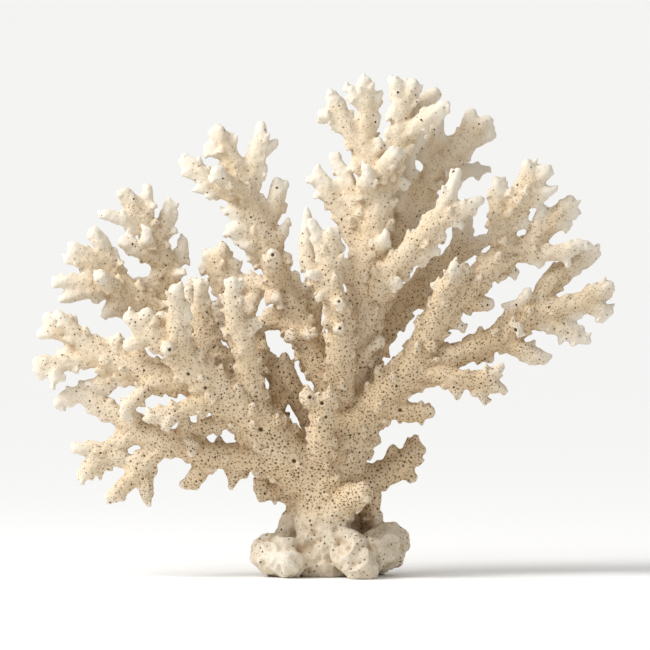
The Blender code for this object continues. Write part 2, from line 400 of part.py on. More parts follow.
        [(58, -6, 127, 6), (64, -7, 127, 3), (69, -7, 125.5, 1.6)],
        [(74, -4, 150, 5), (75.5, -4, 156.5, 2)],
        [(30, -6, 84, 6.5), (37, -7, 84, 5), (45, -7, 83.2, 4), (51.5, -7, 83, 3.1)],
        [(42, -7, 82, 3), (42, -7, 78.5, 1.5)],
        [(46, -7, 82, 3), (47.5, -7, 79, 1.3)],
        [(24, -4, 80, 5), (30, -5, 77.5, 2.6)],
        [(47, -6, 98, 5), (47.5, -6, 95, 2.6)],
        [(54, -6, 100, 4.4), (58, -6, 97.3, 2)],
        [(16, -4, 70, 5), (24, -4, 68, 3.4)],
        [(47, -6, 104, 6), (53, -6, 104, 6.5)],
    ],
    "right_crown": [
        [(84, -2, 157, 6), (88.5, -1, 164, 7), (88.5, 0, 174, 6.6), (87.5, 1, 184, 5.4),
         (86.7, 1, 192, 3.9), (86, 1, 197.5, 2.9)],
        [(87.5, 1, 193, 3), (90, 1, 197, 1.3)],
        [(85, 1, 188, 3.4), (83, 1, 190, 1.6)],
        [(85, 1, 176, 4.6), (82.5, 1, 179, 1.7)],
        [(90, 0, 177, 5.5), (96, 0, 186, 5.6), (101.5, -1, 194, 5.6), (101.7, -2, 201, 4.2),
         (101.2, -2, 206.5, 2.6)],
        [(102, -1, 196, 5), (107, -2, 201, 4), (110, -3, 203, 2.9)],
        [(108, -2, 201, 3), (112.5, -2, 202, 1.7)],
        [(102, -1, 191, 4.6), (108, -2, 192, 3.3), (113.5, -3, 193.7, 1.7)],
        [(103, -1, 202, 2.8), (104.8, -1, 205, 1.4)],
        [(97, 0, 192, 4.2), (97, 0, 198.5, 1.6)],
        [(102, 0, 188, 3.4), (106, 0, 188, 1.6)],
        [(94, 0, 180, 4.6), (100, 0, 181, 1.9)],
        [(92, 0, 175, 4), (98, 0, 176, 1.9)],
        [(92, 1, 186, 3.4), (94, 1, 190.5, 1.5)],
        [(89, 0, 163, 6.5), (97, 1, 163.5, 6), (103.5, 1, 167, 5.6), (108.5, 2, 173.5, 5),
         (114.5, 2, 179.5, 4.5), (119.5, 2, 184.5, 4.2), (122, 2, 187, 3.6)],
        [(104, 1, 170, 4.4), (106.6, 1, 178, 3), (108.7, 1, 184, 1.9)],
        [(120, 2, 182, 3.2), (126.5, 2, 182, 1.7)],
        [(115, 2, 177, 3.8), (122, 2, 176.7, 1.6)],
        [(112, 2, 175, 3.2), (116, 2, 174.3, 1.4)],
        [(109, 2, 171, 3.4), (112.3, 2, 170.5, 1.5)],
        [(98, 1, 161.5, 5), (106, 0, 162.5, 4.2), (114, -1, 162, 3.9), (121, -2, 163.5, 3.5),
         (127, -2, 165.5, 2.6), (131, -2, 167, 1.8)],
        [(103, 0, 160, 3.2), (106.5, 0, 157, 1.2)],
        [(119, -2, 161, 3), (121.3, -3, 157.6, 1.5)],
        [(124, -2, 165, 2.4), (125, -2, 168, 1.4)],
        [(88, -2, 157, 5.5), (92, 2, 153, 3), (96, 3, 152, 1.8)],
    ],
    "right_low_bough": [
        [(48, -5, 106, 7), (60, -5, 109.5, 7.8), (70, -4, 112.5, 7), (80, -3, 117, 6.8),
         (90, -2, 121.5, 7), (99, -1, 128, 7), (106, 1, 135.5, 6.2), (110.5, 3, 144, 5.4),
         (116, 5, 151, 4.8), (123, 7, 156, 4.3), (130, 8, 159.3, 3.9), (134.5, 9, 161.2, 3)],
        [(112, 4, 148, 4), (111.5, 4, 152.5, 1.6)],
        [(113, 4, 146, 4), (119.5, 5, 147, 1.6)],
        [(121, 6, 153, 3.6), (126.5, 6, 152.5, 1.5)],
        [(129, 8, 158, 3), (133.5, 8, 157, 1.3)],
        [(118, 6, 153, 3.6), (118, 6, 157, 1.6)],
        [(108, 3, 142, 4), (106, 3, 146, 1.4)],
        [(104, 0, 131, 6.6), (113, 0, 133.5, 5.6), (122, 0, 136, 5), (130, 0, 138.5, 5),
         (136.5, 0, 142.5, 4.2), (141, 0, 144.5, 3.5)],
        [(131, 0, 138, 4.6), (137, 0, 134, 3.8), (141.3, 0, 132.5, 2.5)],
        [(132, 0, 141, 3.4), (134, 0, 145, 1.7)],
        [(124, 0, 138, 3.6), (126.5, 0, 142, 1.4)],
        [(123, 0, 133, 3.4), (127.8, 0, 130, 1.4)],
        [(136, 0, 133, 3), (139, 0, 129.8, 1.5)],
        [(108, 0, 131, 5.4), (115, 0, 127.5, 4.2), (121, 0, 123.5, 3.8), (126.5, 0, 120.5, 3),
         (131, 0, 118, 2)],
        [(123, 0, 124, 2.8), (128.6, 0, 124.6, 1.2)],
        [(121, 0, 122, 3), (119.6, 0, 119.5, 1.6)],
        [(114, 0, 127, 3), (114.3, 0, 124, 1.3)],
        [(88, -2, 118, 5.6), (95, -3, 115.5, 4.4), (101, -4, 112.8, 3.8), (106.5, -5, 110.5, 3.2),
         (112, -5, 110.7, 1.7)],
        [(102, -4, 111, 3), (103, -4, 107, 1.3)],
        [(107, -5, 110, 2.6), (109.5, -5, 107.8, 1.3)],
        [(94, -3, 115, 3.6), (93.4, -3, 112.2, 1.4)],
        [(97, -1, 131, 5), (99, -3, 138, 3.2), (100.8, -3, 142.3, 2)],
        [(92, -2, 127, 5), (93.5, -3, 135, 2.6)],
        [(86, -2, 123, 5), (88, -3, 128.5, 2)],
        [(79, -3, 113, 5), (82.7, -3, 108.7, 1.7)],
        [(74, -4, 117, 4.6), (73, -4, 121.5, 1.6)],
        [(103, -1, 128, 4.6), (107.5, -2, 125, 2)],
        [(98, -1, 124, 4.6), (100.5, -2, 122.6, 2)],
        [(94, -5, 127, 4.6), (96.5, -9, 125, 3)],
    ],
    "right_lower_frond": [
        [(50, -9, 103, 6), (57.5, -11, 102, 5.4), (65, -12, 100.2, 4.8), (72, -12, 98.8, 4.4),
         (78.5, -12, 99, 4.6), (83, -13, 102, 3.3), (87.5, -14, 105, 2)],
        [(79, -12, 98, 4.2), (84.5, -12, 95.7, 3.2), (88.2, -12, 94.8, 2.1)],
        [(77, -12, 97, 3.8), (78.5, -12, 92, 2.6), (79.3, -12, 89, 1.8)],
        [(63, -12, 98, 3.8), (66, -12, 93.5, 2.6), (66.7, -12, 91, 1.7)],
    ],
}


def smooth_route(stations):
    """A Catmull-Rom curve through the stations, as (point, radius) about every STATION_STEP."""
    ends = [stations[0]] + list(stations) + [stations[-1]]
    route = []
    for before, start, stop, after in zip(ends, ends[1:], ends[2:], ends[3:]):
        steps = max(1, round(math.dist(start[:3], stop[:3]) / STATION_STEP))
        for i in range(steps):
            t = i / steps
            value = [
                0.5 * (2 * b + (c - a) * t + (2 * a - 5 * b + 4 * c - d) * t**2
                       + (3 * b - a - 3 * c + d) * t**3)
                for a, b, c, d in zip(before, start, stop, after)
            ]
            route.append((Vector(value[:3]), value[3]))
    tip = Vector(stations[-1][:3])
    outward = (tip - Vector(stations[-2][:3])).normalized()
    route.append((tip + outward * TIP_REACH, stations[-1][3]))
    return route


def add_limb(skin, stations):
    """A tapered round limb: a cone between each two rings and a ball on each ring."""
    route = smooth_route(stations)
    for (start, r0), (stop, r1) in zip(route, route[1:]):
        along = stop - start
        if along.length < SHORTEST_STEP:
            continue
        turn = along.to_track_quat("Z", "Y").to_matrix().to_4x4()
        place = Matrix.Translation((start + stop) / 2 * MM) @ turn
        bmesh.ops.create_cone(
            skin, cap_ends=True, segments=SIDES, radius1=r0 * MM, radius2=r1 * MM,
            depth=along.length * MM, matrix=place,
        )
    for point, radius in route:
        bmesh.ops.create_icosphere(
            skin, subdivisions=2, radius=radius * MM, matrix=Matrix.Translation(point * MM)
        )


def bough_material(name):
    """The dry skeleton's colour: palest in front, tan in the shade behind."""
    colour = TAN if name in SHADED_BOUGHS else PALE if name in PALE_BOUGHS else CREAM
    material = bpy.data.materials.new(name + "_skeleton")
    material.use_nodes = True
    shader = material.node_tree.nodes["Principled BSDF"]
    shader.inputs["Base Color"].default_value = colour
    shader.inputs["Roughness"].default_value = ROUGHNESS
    shader.inputs["Metallic"].default_value = 0.0
    return material


def evaluated_mesh(obj):
    graph = bpy.context.evaluated_depsgraph_get()
    return bpy.data.meshes.new_from_object(obj.evaluated_get(graph))


def fused(name, limbs, collection):
    """One closed, coarse-faceted solid of these limbs."""
    skin = bmesh.new()
    for stations in limbs:
        add_limb(skin, stations)
    mesh = bpy.data.meshes.new(name)
    skin.to_mesh(mesh)
    skin.free()
    obj = bpy.data.objects.new(name, mesh)
    collection.objects.link(obj)
    remesh = obj.modifiers.new("fuse", "REMESH")
    remesh.mode = "VOXEL"
    remesh.voxel_size = SKIN_VOXEL
    smooth = obj.modifiers.new("round", "SMOOTH")
    smooth.iterations = SKIN_SMOOTHING
    thin = obj.modifiers.new("facet", "DECIMATE")
    thin.ratio = FACET_SHARE
    obj.data = evaluated_mesh(obj)
    obj.data.name = name
    obj.modifiers.clear()
    return obj


def tree_of(obj):
    return BVHTree.FromPolygons(
        [v.co for v in obj.data.vertices], [p.vertices[:] for p in obj.data.polygons]
    )


def grown_cutter(obj, cutters):
    """A copy of a finished solid, thicker by the joint gap, that trims what grows from it."""
    cutter = obj.copy()
    cutter.data = obj.data.copy()
    cutter.name = obj.name + "_clearance"
    cutters.objects.link(cutter)
    grow = cutter.modifiers.new("gap", "DISPLACE")
    grow.mid_level = 0.0
    grow.strength = JOINT_GAP
    cutter.data = evaluated_mesh(cutter)
    cutter.modifiers.clear()
    cutter.hide_render = True
    cutter.display_type = "WIRE"
    return cutter


def cut(obj, cutter):
    """Takes the cutter away from obj, and keeps the result as its mesh."""
    trim = obj.modifiers.new("trim", "BOOLEAN")
    trim.operation = "DIFFERENCE"
    trim.solver = "EXACT"
    trim.object = cutter
    mesh = evaluated_mesh(obj)
    obj.modifiers.clear()
    if mesh.polygons:
        obj.data = mesh


def largest_island(obj):
    """Drops crumbs that a trim leaves on the far side of a neighbour."""
    skin = bmesh.new()
    skin.from_mesh(obj.data)
    left = set(skin.faces)
    islands = []
    while left:
        seed = left.pop()
        island, front = {seed}, [seed]
        while front:
            for edge in front.pop().edges:
                for face in edge.link_faces:
                    if face in left:
                        left.discard(face)
                        island.add(face)
                        front.append(face)
        islands.append(island)
    keep = max(islands, key=len)
    crumbs = [face for island in islands if island is not keep for face in island]
    bmesh.ops.delete(skin, geom=crumbs, context="FACES")
    loose = [v for v in skin.verts if not v.link_faces]
    bmesh.ops.delete(skin, geom=loose, context="VERTS")
    bmesh.ops.triangulate(skin, faces=skin.faces[:])
    skin.to_mesh(obj.data)
    skin.free()


def flat_cut(trunk, cutters):
    """Saws the trunk's foot off level at Z = 0."""
    skin = bmesh.new()
    size = Matrix.Diagonal((SAW_SPAN * MM, SAW_SPAN * MM, CUT_DEPTH * MM, 1))
    bmesh.ops.create_cube(skin, size=1, matrix=Matrix.Translation((0, 0, -CUT_DEPTH * MM / 2)) @ size)
    mesh = bpy.data.meshes.new("saw_cut")
    skin.to_mesh(mesh)
    skin.free()
    saw = bpy.data.objects.new("saw_cut", mesh)
    saw.hide_render = True
    saw.display_type = "WIRE"
    cutters.objects.link(saw)
    cut(trunk, saw)


def build():
    for obj in list(bpy.data.objects):
        bpy.data.objects.remove(obj)
    parts = bpy.data.collections.new("branching_coral")
    cutters = bpy.data.collections.new("cutters")
    for collection in (parts, cutters):
        bpy.context.scene.collection.children.link(collection)

    finished = []
    for name, limbs in {"trunk": FOOT + STEM + BROKEN_STUBS, **BOUGHS}.items():
        piece = fused(name, limbs, parts)
        if name == "trunk":
            flat_cut(piece, cutters)
        for cutter in finished:
            if tree_of(piece).overlap(tree_of(cutter)):
                cut(piece, cutter)
        largest_island(piece)
        piece.data.shade_smooth()
        piece.data.set_sharp_from_angle(angle=SHARP_EDGE)
        piece.data.materials.clear()
        piece.data.materials.append(bough_material(name))
        finished.append(grown_cutter(piece, cutters))


build()
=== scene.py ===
"""The looks of a dry branching coral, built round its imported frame.

The frame's solids are fused into one skin. Small knobs grow on it along the boughs, its surface is
roughened and pitted with open pores, and it is parted again at the same forks, one piece a solid.
Lengths are in millimetres where a name or comment says so, and in metres in Blender's own calls.
"""

import json
import math

import bmesh
import bpy
import numpy as np
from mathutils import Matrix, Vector, noise
from mathutils.bvhtree import BVHTree
from mathutils.kdtree import KDTree


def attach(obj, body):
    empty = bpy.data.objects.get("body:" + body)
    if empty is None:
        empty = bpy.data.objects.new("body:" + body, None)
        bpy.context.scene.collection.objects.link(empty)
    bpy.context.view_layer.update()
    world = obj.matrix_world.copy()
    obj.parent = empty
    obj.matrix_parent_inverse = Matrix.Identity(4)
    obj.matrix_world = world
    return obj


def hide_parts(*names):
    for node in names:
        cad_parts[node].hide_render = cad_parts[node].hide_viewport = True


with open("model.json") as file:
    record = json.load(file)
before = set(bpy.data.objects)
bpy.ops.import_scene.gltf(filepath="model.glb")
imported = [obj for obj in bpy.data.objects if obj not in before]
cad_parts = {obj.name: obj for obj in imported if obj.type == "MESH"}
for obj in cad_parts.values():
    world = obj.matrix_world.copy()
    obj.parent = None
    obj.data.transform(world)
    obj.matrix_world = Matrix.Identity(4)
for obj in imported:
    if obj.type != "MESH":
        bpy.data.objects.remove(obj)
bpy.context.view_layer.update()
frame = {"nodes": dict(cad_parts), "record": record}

MM = 0.001
SEED = 11

# The skin, in millimetres
SWELL = 0.3                # closes the hair-wide gaps at the forks
SLIMMED = 0.95             # taken off thick boughs again once the facets are rounded
STOUT = 10.0               # boughs this thick are slimmed in full
BLUNT = 6.4                # tips thinner than this are filled out
FILLED = 0.55              # filled out by this much at most
FORM_VOXEL = 0.95          # grid of the smooth form under the knobs
SKIN_VOXEL = 0.68          # grid of the finished skin
FORM_PASSES = 20           # passes that round the frame's facets
SKIN_PASSES = 2
LOOK_DEPTH = 30.0          # thickness is looked for no deeper than this
LOOK_ASIDE = 0.9           # slant of four of the five looks inward
LOOK_START = 0.2           # below the surface
FILLING = 0.32             # share of what a thin tip lacks that is made up
FORM_EVENING = 6           # passes that even out the thickness on the form
SKIN_EVENING = 8           # and on the skin
HOLLOW_PASSES = 26         # passes behind the average that hollows are told by
BORDER_PASSES = 6          # passes that straighten the borders between pieces
WELD = 0.001               # points of a solid this near are one
ASIDE = (0.31, 0.87, 0.38)  # a direction that no bough follows

# How the coral spreads, in millimetres
FOOT_TOP = 27.0            # knobs and growth start above the foot
GROWTH_CENTRE = (0.0, 0.0, 38.0)
GROWTH_LOWEST = -20.0      # what hangs lower than this below the centre grows no steeper
GROWTH_LIFT = 22.0         # added upward to every direction of growth
FULL_REACH = 175.0         # from the centre to the furthest tips

# Zones: where each begins and where it is complete, in millimetres, and a share for the reach
FOOT_ZONE = (36.0, 28.0)   # height
DENT_ZONE = (35.0, 23.0)   # height, for the foot's broad dents
STONE_ZONE = (33.0, 23.0)  # height, for the foot's greyer colour
TIP_ZONE = (7.5, 3.5)      # thickness of a twig
OUTER_ZONE = (0.35, 0.85)  # reach of the boughs that have tips
RIGHT_SHADE_ZONE = (15.0, 75.0)  # x of the boughs on the right, which are painted darker as shade from the light on the left
RIGHT_SHADE_TOP = (215.0, 165.0)  # height up to which this painted shade reaches

# Knobs: small budding corallites, in millimetres
KNOB_SPACING = (4.8, 9.6)
FACING = -0.55             # surfaces whose normal has a lower y face the viewer
FACING_KNOBS = 0.008       # share of the places facing the viewer that may bear one
KNOB_SIDES = 8
KNOB_LEAN = (0.7, 0.9, 0.2)  # shares of outward, along the growth and random
KNOB_STOUT = 14.0          # boughs this thick bear full knobs
KNOB_HEIGHT = 45.0         # above the foot's top, where knobs have their full length
KNOB_RADIUS = (1.05, 0.8)  # the least, and what the bough adds to it
KNOB_LENGTH = (1.5, 1.6)
KNOB_CAP = 0.35
# Rings of a knob: share of its radius, and height as a share of its length, or below 0 in millimetres
KNOB_PROFILE = [(0.3, -2.2), (1.9, -1.6), (1.45, -0.4), (1.05, 0.3), (0.8, 0.7), (0.52, 1.0)]

# Relief all over the skin: size and depth in millimetres
DENTS = (10.0, -4.2)
LUMPS = (3.6, 0.8)
CELLS = (1.7, -0.22)

# Pores, in millimetres
PORE_SPACING = (1.5, 2.6)  # on the trunk, at the tips
PORE_RADIUS = (0.24, 0.64)
PORE_LOWEST = 2.0          # height
PORE_DEPTH = 1.5           # times how far inside a pore a point is
PORE_EDGE = 0.75           # round a pore, where its brown ring fades
FOOT_SPREAD = 0.4          # wider spacing on the foot
UNEVEN = (0.85, 1.3)       # spacing varies between these shares
SMALLNESS = 2.2            # the higher, the fewer large pores
SHRINK = (1.12, 0.42)      # size at the trunk, and what it loses to the tips
FINE_PORE_SPACING = 1.18
PATCH_SIZE = 7.0           # pores crowd in patches about this wide
BARE = -0.15               # chance that a place has no pore, before the next four
BARE_REACH = 0.6
BARE_TIP = 0.4
BARE_FOOT = 0.6
PATCHES = (0.7, 0.8)       # how patchy the pores are, and how much more so on the foot
CREST_LIMIT = -1.0         # no pores on crests that stand prouder than this
MOUTH_SPACING = 7.5        # between the wide pores that have a lip
MOUTH_UNEVEN = (0.7, 2.2)
MOUTH_RADIUS = (0.42, 0.66)
MOUTH_CLEAR = -0.4         # how far outside other pores a mouth stays
MOUTH_CREST = -0.7
MOUTH_SLOPE = 0.03
MOUTH_DEPTH = 0.9
MOUTH_LIP = 0.14

# Colours of the skeleton and its brown blotches, the painted shade of its hollows and pores, the painted
# highlight of its crests, and how tan each slot's boughs are
PALE = (0.74, 0.64, 0.495)
CREAM = (0.70, 0.57, 0.39)
TAN = (0.60, 0.425, 0.235)
# painted shade in hollows
RECESS_SHADE = (0.39, 0.245, 0.115)
FOOT_STONE = (0.62, 0.55, 0.44)
# the tips' own paleness, and a painted highlight on crests
PALE_TIP_AND_HIGHLIGHT = (0.80, 0.755, 0.665)
# brown blotches towards the hollows, and a ring round each pore
DARK_BROWN = (0.42, 0.28, 0.145)
# painted shade in the fine pores and in the deepest hollows
FINE_PORE_SHADE = (0.30, 0.195, 0.105)
# painted shade on the floors of pores and mouths
DEEP_PORE_SHADE = (0.14, 0.088, 0.048)
SLOT_TONES = {"pale_skeleton": 0.0, "cream_skeleton": 0.05, "tan_skeleton": 0.14}
TONE_PASSES = 60
INNER_TONE = (1.3, 1.5, 0.8)  # at the centre, lost along the reach, and at most
INNER_SHARE = 0.6
# painted shade on the right-hand boughs, which face away from the light
RIGHT_SHADE = 0.28
POINT_VALUES = ("hollow", "tone", "tip", "pore", "mouth")

# Relief on the front of the foot: x, z, reach and depth in millimetres; a negative depth stands proud
FOOT_RELIEF = [
    (-6.5, 24, 4.0, 1.6),
    (7.0, 19.5, 3.6, 2.0),
    (-12.5, 14.0, 2.8, 0.9),
    (-17.0, 8.0, 5.0, -2.4),
    (-1.0, 19.0, 2.6, 0.8),
    (-8.0, 7.5, 5.0, 0.5),
    (4.0, 6.0, 5.0, 0.7),
    (11.0, 9.0, 3.5, -1.6),
    (9.0, 25.0, 3.5, -1.2),
    (14.0, 21.5, 3.0, -0.9),
    (16.5, 13.0, 3.0, -1.0),
    (21.5, 14.5, 3.2, 1.6),
    (26.5, 10.0, 3.0, 1.8),
    (35.0, 15.0, 2.4, 1.2),
    (31.0, 22.0, 3.0, -0.8),
    (-25.0, 9.0, 6.0, -1.0),
    (-19.0, 20.0, 3.0, 1.0),
]

# Painted shade in recesses on the front: x, z, reach in millimetres and strength; a negative one is a
# painted highlight
SHADE_SPOTS = [
    (18.5, 27.0, 5.0, 2.2),
    (7.0, 19.7, 2.8, 0.9),
    (-6.3, 24.3, 3.2, 0.7),
    (-12.5, 13.5, 2.6, 0.8),
    (-26.5, 46.5, 4.0, 1.6),
    (23.0, 16.0, 2.4, 0.9),
    (-25.0, 11.0, 8.5, -1.8),
]

# Polyp openings and worm holes on the front: x, z, radius and height of the rim, in millimetres
OPENINGS = [
    (-77.0, 115.5, 0.9, 0.5),
    (7.0, 139.0, 0.8, 0.7),
    (7.5, 125.5, 0.8, 0.7),
    (-26.0, 161.5, 0.9, 0.6),
    (-7.5, 91.5, 1.0, 0.5),
    (-1.5, 88.5, 1.0, 0.5),
    (-68.0, 103.0, 0.9, 0.0),
    (-59.5, 96.0, 0.9, 0.0),
    (-32.0, 75.0, 1.1, 0.0),
    (-15.5, 59.0, 1.0, 0.0),
    (2.0, 63.5, 0.9, 0.4),
    (0.5, 81.5, 0.8, 0.3),
    (37.5, 84.0, 1.0, 0.0),
    (95.0, 124.0, 1.0, 0.5),
]

# Round each opening, in millimetres, and the shape of its hole
OPENING_EDGE = 2.0         # round an opening, as far as its rim is felt
RIM_WIDTH = 0.5
OPENING_DEPTH = 1.3
OPENING_FUNNEL = 0.7

# The studio and the photograph's view, in metres
FLOOR_SIZE = 120.0
FLOOR_COLOUR = (0.965, 0.965, 0.96, 1.0)
SKY_COLOUR = (1.0, 0.995, 0.985, 1.0)
SKY_STRENGTH = 0.56
KEY_STRENGTH = 1.98
KEY_FROM = (-0.95, -0.32, 0.8)
KEY_SPREAD = math.radians(20.0)
LAMP_PLACE = (-0.34, -0.25, 0.5)
LAMP_AIM = (0.0, 0.0, 0.13)
LAMP_SIZE = 0.3
LAMP_WATTS = 1.2
SENSOR = 36.0
LENS = 550.0
VIEW_WIDTH = 0.325
VIEW_MIDDLE = (0.0, 0.0, 0.126)
VIEW_ELEVATION = math.radians(2.6)
VIEW_CLIP = (0.1, 200.0)


def mesh_of(name, points, faces):
    """A mesh of these points, in millimetres, and faces that all have the same number of sides."""
    mesh = bpy.data.meshes.new(name)
    sides = faces.shape[1]
    mesh.vertices.add(len(points))
    mesh.vertices.foreach_set("co", (points * MM).astype(np.float32).ravel())
    mesh.loops.add(faces.size)
    mesh.loops.foreach_set("vertex_index", faces.astype(np.int32).ravel())
    mesh.polygons.add(len(faces))
    mesh.polygons.foreach_set("loop_start", np.arange(0, faces.size, sides, dtype=np.int32))
    mesh.update(calc_edges=True)
    return mesh


def arrays_of(mesh, sides):
    """A mesh's points in millimetres, and its faces."""
    points = np.empty(len(mesh.vertices) * 3, np.float32)
    mesh.vertices.foreach_get("co", points)
    corners = np.empty(len(mesh.loops), np.int32)
    mesh.loops.foreach_get("vertex_index", corners)
    return points.reshape(-1, 3).astype(float) / MM, corners.reshape(-1, sides)


def normals_of(points, faces):
    mesh = mesh_of("normals", points, faces)
    normals = np.empty(len(points) * 3, np.float32)
    mesh.vertex_normals.foreach_get("vector", normals)
    bpy.data.meshes.remove(mesh)
    return normals.reshape(-1, 3).astype(float)


def fused(points, faces, voxel):
    """One closed skin of quads round closed bodies that may overlap."""
    body = bpy.data.objects.new("fused", mesh_of("fused", points, faces))
    bpy.context.scene.collection.objects.link(body)
    remesh = body.modifiers.new("fuse", "REMESH")
    remesh.mode = "VOXEL"
    remesh.voxel_size = voxel * MM
    mesh = bpy.data.meshes.new_from_object(body.evaluated_get(bpy.context.evaluated_depsgraph_get()))
    result = arrays_of(mesh, 4)
    bpy.data.objects.remove(body)
    bpy.data.meshes.remove(mesh)
    return result


def edges_of(faces):
    pairs = np.concatenate([np.stack([faces[:, i], faces[:, (i + 1) % 4]], 1) for i in range(4)])
    pairs.sort(axis=1)
    return np.unique(pairs, axis=0)


def neighbour_mean(values, edges):
    """The mean of each point's neighbours, for one value or several a point."""
    columns = values.reshape(len(values), -1)
    count = np.bincount(edges.ravel(), minlength=len(values))
    means = []
    for column in columns.T:
        total = np.bincount(edges[:, 0], column[edges[:, 1]], len(values))
        total += np.bincount(edges[:, 1], column[edges[:, 0]], len(values))
        means.append(total / np.maximum(count, 1))
    return np.stack(means, 1).reshape(values.shape)


def rounded(points, edges, passes, relax=0.6, restore=-0.63):
    """Smooths without shrinking: each pass relaxes the points, then swells them back."""
    for _ in range(passes):
        for share in (relax, restore):
            points = points + share * (neighbour_mean(points, edges) - points)
    return points


def evened(values, edges, passes):
    """Values blended with their neighbours', this many times over."""
    for _ in range(passes):
        values = neighbour_mean(values, edges)
    return values


def zone(values, begins, complete):
    """How far into a zone each value lies, from 0 where it begins to 1 where it is complete."""
    return np.clip((values - begins) / (complete - begins), 0.0, 1.0)


def unit(vectors):
    return vectors / np.maximum(np.linalg.norm(vectors, axis=-1, keepdims=True), 1e-9)


def growth_direction(points):
    """Boughs spread from the top of the trunk, and their knobs lean the same way."""
    away = points - np.array(GROWTH_CENTRE)
    away[:, 2] = np.maximum(away[:, 2], GROWTH_LOWEST) + GROWTH_LIFT
    return unit(away)


def tree_of(points):
    tree = KDTree(len(points))
    for index, point in enumerate(points):
        tree.insert(point, index)
    tree.balance()
    return tree


def spaced(points, spacing, rng):
    """Indices of points, taken in a random order, that keep their spacing, in millimetres."""
    tree = tree_of(points)
    blocked = np.zeros(len(points), bool)
    kept = []
    for index in rng.permutation(len(points)):
        if not blocked[index]:
            kept.append(index)
            for _, other, _ in tree.find_range(points[index], spacing[index]):
                blocked[other] = True
    return np.array(kept)


def smooth_form():
    """The frame's solids as one rounded skin, without knobs."""
    points, faces, start = [], [], 0
    for node in frame["nodes"].values():
        own = node.data.copy()
        skin = bmesh.new()
        skin.from_mesh(own)
        bmesh.ops.triangulate(skin, faces=skin.faces[:])
        bmesh.ops.remove_doubles(skin, verts=skin.verts[:], dist=WELD * MM)
        skin.to_mesh(own)
        skin.free()
        own_points, own_faces = arrays_of(own, 3)
        own_points = own_points + SWELL * normals_of(own_points, own_faces)
        points.append(own_points)
        faces.append(own_faces + start)
        start += len(own_points)
        bpy.data.meshes.remove(own)
    points, faces = fused(np.concatenate(points), np.concatenate(faces), FORM_VOXEL)
    edges = edges_of(faces)
    points = rounded(points, edges, FORM_PASSES)
    normals = normals_of(points, faces)
    thickness = local_thickness(points, normals, skin_tree(points, faces))
    thickness = evened(thickness, edges, FORM_EVENING)
    slimming = SLIMMED * zone(thickness, BLUNT, STOUT)
    filling = np.clip(FILLING * (BLUNT - thickness), 0.0, FILLED)
    return rounded(points + normals * (filling - slimming)[:, None], edges, 2), faces, thickness


def local_thickness(points, normals, tree):
    """How thick the form is under each point, in millimetres: the shortest of five looks inward."""
    result = np.full(len(points), LOOK_DEPTH)
    side = unit(np.cross(normals, ASIDE))
    other = np.cross(normals, side)
    for aside in (0.0 * side, side, -side, other, -other):
        looks = unit(LOOK_ASIDE * aside - normals)
        for i, (point, look) in enumerate(zip(points - LOOK_START * normals, looks)):
            hit = tree.ray_cast(Vector(point) * MM, Vector(look), LOOK_DEPTH * MM)
            if hit[0] is not None:
                result[i] = min(result[i], hit[3] / MM)
    return result


def knobs(points, normals, thickness, rng):
    """Blunt buds leaning the way the coral grew, as closed bodies that start inside the form."""
    count = len(points)
    outward, along, stray = KNOB_LEAN
    lean = unit(outward * normals + along * growth_direction(points) + stray * rng.normal(size=(count, 3)))
    stout = np.clip(thickness / KNOB_STOUT, 0.3, 1.0)
    foot_radius = (KNOB_RADIUS[0] + KNOB_RADIUS[1] * stout) * rng.uniform(0.8, 1.2, count)
    grown = np.clip((points[:, 2] - FOOT_TOP) / KNOB_HEIGHT, 0.2, 1.0)
    length = (KNOB_LENGTH[0] + KNOB_LENGTH[1] * stout) * rng.uniform(0.4, 1.5, count) * grown
    side = unit(np.cross(lean, ASIDE))
    other = np.cross(lean, side)
    rings = []
    for wide, high in KNOB_PROFILE:
        centre = points + lean * (high * length if high > 0 else np.full(count, high))[:, None]
        for k in range(KNOB_SIDES):
            angle = 2 * math.pi * k / KNOB_SIDES
            arm = math.cos(angle) * side + math.sin(angle) * other
            rings.append(centre + arm * (wide * foot_radius)[:, None])
    ring_points = np.stack(rings, 1)
    ends = np.stack([ring_points[:, :KNOB_SIDES].mean(1), ring_points[:, -KNOB_SIDES:].mean(1)], 1)
    ends[:, 1] += lean * KNOB_CAP
    body = np.concatenate([ring_points, ends], 1)
    per_knob = body.shape[1]
    bottom, top = per_knob - 2, per_knob - 1
    last = (len(KNOB_PROFILE) - 1) * KNOB_SIDES
    faces = []
    for k in range(KNOB_SIDES):
        after = (k + 1) % KNOB_SIDES
        faces.append((bottom, after, k))
        faces.append((top, last + k, last + after))
        for ring in range(len(KNOB_PROFILE) - 1):
            a, b = ring * KNOB_SIDES + k, ring * KNOB_SIDES + after
            faces.append((a, b, b + KNOB_SIDES))
            faces.append((a, b + KNOB_SIDES, a + KNOB_SIDES))
    faces = np.array(faces)[None] + (np.arange(count) * per_knob)[:, None, None]
    return body.reshape(-1, 3), faces.reshape(-1, 3)


